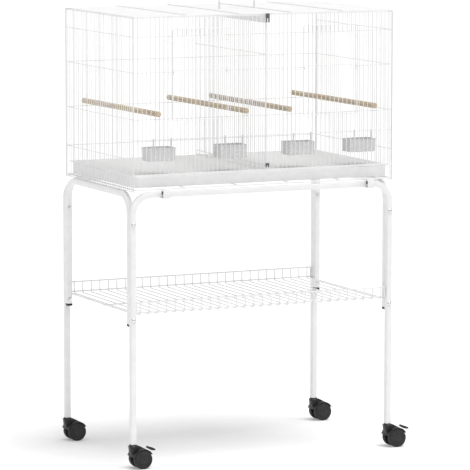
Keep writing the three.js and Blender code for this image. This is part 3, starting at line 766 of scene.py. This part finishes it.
base = Form()
base_x = HALF_WIDTH - 6.4
base_front, base_back = low("base_frame").y + 2, high("base_frame").y - 2
base.wire(loop([
    (base_x, base_front, BASE_Z), (base_x, base_back, BASE_Z),
    (-base_x, base_back, BASE_Z), (-base_x, base_front, BASE_Z),
], 4), 1.95, closed=True)
for cross_x in SIXTHS:
    base.wire(straight((cross_x, base_front, BASE_Z), (cross_x, base_back, BASE_Z)), 1.5)
piece("base_frame_wires", base.moved(CAGE_X), "base_frame", "white_wire")

# ------------------------------------------------------------------ doors


def make_door(side, s):
    """Bars behind a bent frame wire and two horizontals."""
    form = Form()
    face = -HALF_DEPTH
    frame_y = -3.3
    x = DOOR_HALF - 1.6
    form.wire(loop([
        (x, frame_y, DOOR_BOTTOM + 1.6), (x, frame_y, DOOR_TOP - 1.6),
        (-x, frame_y, DOOR_TOP - 1.6), (-x, frame_y, DOOR_BOTTOM + 1.6),
    ], 5), 1.5, closed=True)
    levels = (LEVELS[1] + 5, LEVELS[2])
    for i in range(-5, 6):
        upright(form, i * PITCH, DOOR_BOTTOM + 0.6, DOOR_TOP - 0.6, -1.5)
        for z in levels:
            form.weld(i * PITCH, -2.5, z)
    for z in levels:
        lengthwise(form, -x, x, z, -3.7, 1.2)
    piece(f"door_wires_{side}", form.moved(CAGE_X + s * DOOR_CENTRE, face),
          f"door_{side}", "white_wire")


make_door("left", -1)
make_door("right", 1)

# ------------------------------------------------------------------ tray


def make_tray():
    """A thin formed pan: flared cove, rolled rim, flat floor with a round edge."""
    profile = [
        (18, TRAY_LOW), (16.4, TRAY_LOW + 0.3), (15.2, TRAY_LOW + 1.4),
        (14.3, TRAY_LOW + 3), (13.4, 747), (12.5, 751), (11.2, 755), (9.4, 758.8),
        (6.4, 762), (3.4, 764.4), (1.2, 765.9), (0.2, 767), (0.15, 768.2), (0.8, 769.1),
        (1.8, TRAY_TOP), (2.8, 769.1), (4.4, 768), (7.4, 765.2), (10.4, 762), (12.8, 758.4),
        (14.3, 754), (15.3, 749), (16.4, 745), (18.2, 742.6), (21, TRAY_LOW + 2.1),
        (28, TRAY_LOW + 1.8),
    ]
    form = Form()
    rings = []
    for inset, z in profile:
        ring = rounded_rectangle(
            TRAY_HALF - inset, TRAY_FRONT + inset, TRAY_BACK - inset,
            max(18 - 0.5 * inset, 9), 10)
        rings.append([vec(CAGE_X + x, y, z) for x, y in ring])
    form.skin(rings)
    pan = piece("tray_pan", form, "tray", "white_plastic")
    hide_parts("tray_wall")


make_tray()

# ------------------------------------------------------------------ divider


def make_divider():
    """A wire partition with a folded sheet band along its top."""
    form = Form()
    half = SIDE_HALF - 1.5
    foot, top = low("divider").z, high("divider").z
    band_low = top - BAND
    x = half - FRAME - 0.1
    for s in (-1, 1):
        upright(form, s * x, foot + 0.4, top - 0.4, 0.8, FRAME - 0.2)
    lengthwise(form, -x, x, foot + FRAME, 0.6, FRAME - 0.3)
    levels = (787, 1081.5)
    for y in bar_centres(half - 6):
        upright(form, y, foot + 1, band_low + 6, 0)
        for z in levels:
            form.weld(y, 1, z)
    for z in levels:
        lengthwise(form, -x, x, z, 2.1, CROSS)
    piece("divider_wires", form.turned(90).moved(CAGE_X + PITCH / 2),
          "divider", "white_wire")
    # the band's section: a flat face folded back along both long edges
    hem = 3.4
    section = [
        (-0.9, band_low + 0.6), (-0.5, band_low), (1.2, band_low), (1.6, band_low + 0.5),
        (1.6, band_low + hem), (0.9, band_low + hem), (0.7, band_low + hem + 1),
        (0.2, band_low + hem + 2), (0.2, top - hem - 2), (0.7, top - hem - 1),
        (0.9, top - hem), (1.6, top - hem), (1.6, top - 0.5), (1.2, top),
        (-0.5, top), (-0.9, top - 0.6),
    ]
    band = Form()
    band.slab([section], lambda a, b, d: vec(d, a, b), -half + 0.6, half - 0.6)
    piece("divider_band", band.turned(90).moved(CAGE_X + PITCH / 2),
          "divider", "white_wire", bevel=0.15, stands=False)


make_divider()


def make_latch(name, node, ridges):
    """A moulded grip with thumb ridges and two prongs."""
    lo, hi = low(node), high(node)
    x = (lo.x + hi.x) / 2
    body_low = lo.z + (11 if ridges else 5)
    form = Form()
    form.block(x - 5, x + 5, lo.y + 1, hi.y, body_low, hi.z)
    count = 3 if ridges else 1
    for i in range(count):
        z = body_low + (i + 1) * (hi.z - body_low) / (count + 1)
        form.block(x - 4, x + 4, lo.y, lo.y + 2, z - 0.9, z + 0.9)
    for s in (-1, 1):
        form.block(x + s * 3.2 - 1.3, x + s * 3.2 + 1.3, lo.y + 1.4, hi.y - 0.8,
                   lo.z, body_low + 1)
    piece(name, form, node, "dark_plastic", bevel=0.6)


make_latch("divider_top_latch", "divider_latch", True)
make_latch("divider_low_clip", "divider_foot_clip", False)

# ------------------------------------------------------------------ cups


def make_cup(index):
    """A smooth cup with a beaded rim, hung by two strap hooks."""
    node = f"feeder_cup_{index}"
    x = middle(node).x
    profile = [
        (4.5, CUP_BOTTOM), (2.2, CUP_BOTTOM + 0.5), (1.3, CUP_BOTTOM + 1.8),
        (1.0, CUP_BOTTOM + 4), (0.6, CUP_TOP - 5), (0.55, CUP_TOP - 3.4),
        (0.05, CUP_TOP - 2.8), (0, CUP_TOP - 0.8), (0.4, CUP_TOP), (1.4, CUP_TOP),
        (1.9, CUP_TOP - 0.8), (2.2, CUP_TOP - 4), (2.7, CUP_BOTTOM + 6),
        (3.6, CUP_BOTTOM + 3), (6, CUP_BOTTOM + 2),
    ]
    form = Form()
    form.skin([
        [vec(x + a, CUP_FACE + b, z) for a, b in rounded_rectangle(
            CUP_HALF - inset, inset, CUP_DEPTH - inset, CUP_CORNER - inset)]
        for inset, z in profile
    ])
    piece(f"cup_shell_{index}", form, node, "grey_plastic")
    hook_top = high(node).z
    straps = Form()
    for s in (-1, 1):
        section = [
            (1.9, CUP_TOP - 9), (1.9, hook_top - 1.4), (1.3, hook_top - 0.5),
            (0.4, hook_top), (-1.4, hook_top), (-2, hook_top - 0.6), (-2, hook_top - 1.6),
            (-0.4, hook_top - 1.7), (0, hook_top - 2.2), (0, CUP_TOP - 3),
            (0.4, CUP_TOP - 9),
        ]
        straps.slab([section], lambda a, b, d: vec(d, CUP_FACE + a, b),
                    x + s * 2 * PITCH - 2, x + s * 2 * PITCH + 2)
    piece(f"cup_hooks_{index}", straps, node, "grey_plastic", bevel=0.3, stands=False)


for cup_index in (1, 2, 3, 4):
    make_cup(cup_index)

# ------------------------------------------------------------------ perches


def make_perch(index):
    """A dowel with softened ends and a sawn groove near each end."""
    node = f"perch_{index}"
    centre = (middle(node).x, 0, PERCH_Z)
    skew = math.atan2(PITCH, 2 * HALF_DEPTH - 4)
    axis = (-math.sin(skew), math.cos(skew), 0)
    tip = 6
    half = HALF_DEPTH + 0.4 + tip
    groove = 5.2
    neck = 4.85
    inner = half - tip - groove
    r = PERCH_RADIUS
    head = [
        (0.3, -half), (r - 2.2, -half), (r - 1.1, -half + 0.35), (r - 0.3, -half + 1.1),
        (r, -half + 2.2), (r, -half + tip - 0.5), (r - 0.5, -half + tip), (neck, -half + tip),
    ]
    shank = [
        (neck - 0.6, -inner), (r - 0.5, -inner), (r, -inner + 0.6),
        (r, inner - 0.6), (r - 0.5, inner), (neck - 0.6, inner),
    ]
    form = Form()
    sides = 28
    form.lathe(shank, centre, axis, sides)
    form.lathe(head, centre, axis, sides)
    form.lathe([(radius, -height) for radius, height in head[::-1]], centre, axis, sides)
    piece(f"perch_dowel_{index}", form, node, "timber")
    # the groove necks are coloured with the painted groove shade
    ends = Form()
    for s in (-1, 1):
        ends.lathe([(neck, s * (inner - 0.2)), (neck, s * (half - tip + 0.2))],
                   centre, axis, sides)
    piece(f"perch_grooves_{index}", ends, node, "timber", material=GROOVE_PAINTED_SHADE,
          stands=False)


for perch_index in (1, 2, 3, 4):
    make_perch(perch_index)

# ------------------------------------------------------------------ handle

handle_y = PITCH / 2
foot_z = low("carry_handle").z + HANDLE_WIRE
handle = Form()
handle.wire(bent([
    (-HANDLE_HALF, handle_y - 9, foot_z), (-HANDLE_HALF, handle_y, foot_z),
    (-HANDLE_HALF, handle_y, HANDLE_TOP), (HANDLE_HALF, handle_y, HANDLE_TOP),
    (HANDLE_HALF, handle_y, foot_z), (HANDLE_HALF, handle_y - 9, foot_z),
], [3.4, 14, 14, 3.4], 9), HANDLE_WIRE, sides=14)
piece("carry_handle_loop", handle.moved(CAGE_X + HANDLE_X), "carry_handle", "white_wire")

# ------------------------------------------------------------------ casters


def arc(cx, cz, radius, first, last, steps):
    """Points along an arc in the X-Z plane, angles in radians."""
    return [
        (cx + radius * math.cos(a), cz + radius * math.sin(a))
        for a in (first + (last - first) * i / steps for i in range(steps + 1))
    ]


def make_caster(name, sx, sy):
    """Twin wheels under a hood, with a swivel boss and a stem up the leg."""
    x, y = STAND_X + sx * LEG_X, sy * LEG_Y
    top = LEG_BOTTOM - 0.4

    def side_on(a, b, depth):
        return vec(x + a, y + depth, b)

    web = WHEEL_INNER - 0.6
    hood = Form()
    profile = [
        (-12, top - 3), (-10.4, 56), (-9.2, 44), (TRAIL - 9, WHEEL_RADIUS - 8),
        *arc(TRAIL, WHEEL_RADIUS, 12, math.pi * 1.25, math.pi * 2, 10),
        (TRAIL + 20, 47), (14, top - 3),
    ]
    hood.slab([profile], side_on, -web, web)
    inner = WHEEL_RADIUS + 1.2
    outer = inner + 2.4
    shell = [
        *arc(TRAIL, WHEEL_RADIUS, outer, 0.5, math.pi - 0.25, 26),
        *arc(TRAIL, WHEEL_RADIUS, inner, math.pi - 0.25, 0.5, 26),
    ]
    hood.slab([shell], side_on, -WHEEL_OUTER, WHEEL_OUTER)
    hood.lathe([
        (11.6, top - 9), (12, top - 8), (12, top - 3.6), (10.8, top - 2.6),
        (10.2, top - 2.2), (10.2, top - 0.2), (9.6, top),
    ], (x, y, 0), (0, 0, 1), 32)
    piece(f"caster_shell_{name}", hood, f"caster_hood_{name}", "black_plastic", bevel=0.7)
    stem = Form()
    stem.lathe([(5.6, top - 1), (5.6, top + 17), (4.8, top + 18)], (x, y, 0), (0, 0, 1), 20)
    piece(f"caster_stem_{name}", stem, f"caster_hood_{name}", "zinc_bolt", stands=False)

    tyres, hubs = Form(), Form()
    axle = (x + TRAIL, y, WHEEL_RADIUS)
    for s in (-1, 1):
        out = (0, s, 0)
        tyres.lathe([
            (20.6, 8.8), (23.4, 8.3), (24.5, 8.9), (WHEEL_RADIUS, 10.4),
            (WHEEL_RADIUS, 20.6), (24.6, 22.0), (23.6, 22.9), (20.6, 23.2),
        ], axle, out, 48)
        hubs.lathe([
            (3.2, 8), (20.9, 8.4), (20.9, 22.6), (20.0, 23.0), (18.6, 22.9),
            (17.8, 21.6), (12.5, 21.3), (11.4, 22.6), (9.8, WHEEL_OUTER),
            (4.0, WHEEL_OUTER), (3.2, 22.8), (0.6, 22.8),
        ], axle, out, 40)
    hubs.lathe([(3, -8.4), (3, 8.4)], axle, (0, 1, 0), 16)
    piece(f"caster_tyres_{name}", tyres, f"caster_wheels_{name}", "caster_tread")
    piece(f"caster_hubs_{name}", hubs, f"caster_wheels_{name}", "black_plastic",
          stands=False)

    if sy > 0:
        return
    lever = Form()
    pedal = [
        (TRAIL + 19, 52), (TRAIL + 29, 46.5), (TRAIL + 39, 46), (TRAIL + 39, 50),
        (TRAIL + 30, 53), (TRAIL + 22, 57),
    ]
    lever.slab([pedal], side_on, -10, 10)
    for step in range(3):
        a = TRAIL + 30.5 + 2.6 * step
        b = 52.8 - 0.33 * (a - TRAIL - 30)
        lever.slab([[(a, b - 1), (a + 1.2, b - 1), (a + 1.2, b + 0.5), (a, b + 0.5)]],
                   side_on, -8.5, 8.5)
    piece(f"brake_pedal_{name}", lever, f"brake_lever_{name}", "black_plastic", bevel=0.7)


for corner_name, (side_x, side_y) in CORNERS.items():
    make_caster(corner_name, side_x, side_y)

# ------------------------------------------------------------------ studio


def make_floor():
    mesh = bpy.data.meshes.new("floor")
    reach = 60
    mesh.from_pydata(
        [(-reach, -reach, 0), (reach, -reach, 0), (reach, reach, 0), (-reach, reach, 0)],
        [], [(0, 1, 2, 3)])
    paper = Finish("floor_paper", grey(0.72), grey(0.74), (0.8, 0.9),
                   Emission_Color=(1, 1, 1, 1), Emission_Strength=0.2)
    mesh.materials.append(paper.material)
    floor = bpy.data.objects.new("floor", mesh)
    bpy.context.scene.collection.objects.link(floor)


def make_sun(name, strength, angle, pitch, heading):
    """A broad soft sun; pitch is its tilt from straight down, heading where it is."""
    lamp = bpy.data.lights.new(name, "SUN")
    lamp.energy = strength
    lamp.angle = math.radians(angle)
    sun = bpy.data.objects.new(name, lamp)
    sun.rotation_euler = (math.radians(pitch), 0, math.radians(heading))
    bpy.context.scene.collection.objects.link(sun)


def make_world(strength):
    world = bpy.data.worlds.new("studio")
    world.use_nodes = True
    sky = world.node_tree.nodes["Background"]
    sky.inputs["Color"].default_value = (1, 1, 1, 1)
    sky.inputs["Strength"].default_value = strength
    bpy.context.scene.world = world


def make_camera():
    lens = bpy.data.cameras.new("camera")
    lens.sensor_width = 36
    lens.lens = 265.92
    lens.clip_end = 200
    camera = bpy.data.objects.new("camera", lens)
    camera.location = (-3.9926, -8.4814, 1.746)
    camera.rotation_euler = [math.radians(angle) for angle in (82.871, -0.06, -25.204)]
    bpy.context.scene.collection.objects.link(camera)
    bpy.context.scene.camera = camera


make_floor()
make_world(0.66)
make_sun("key", 2.3, 35, 16, 35)
make_camera()
bpy.context.scene.view_settings.view_transform = "Standard"
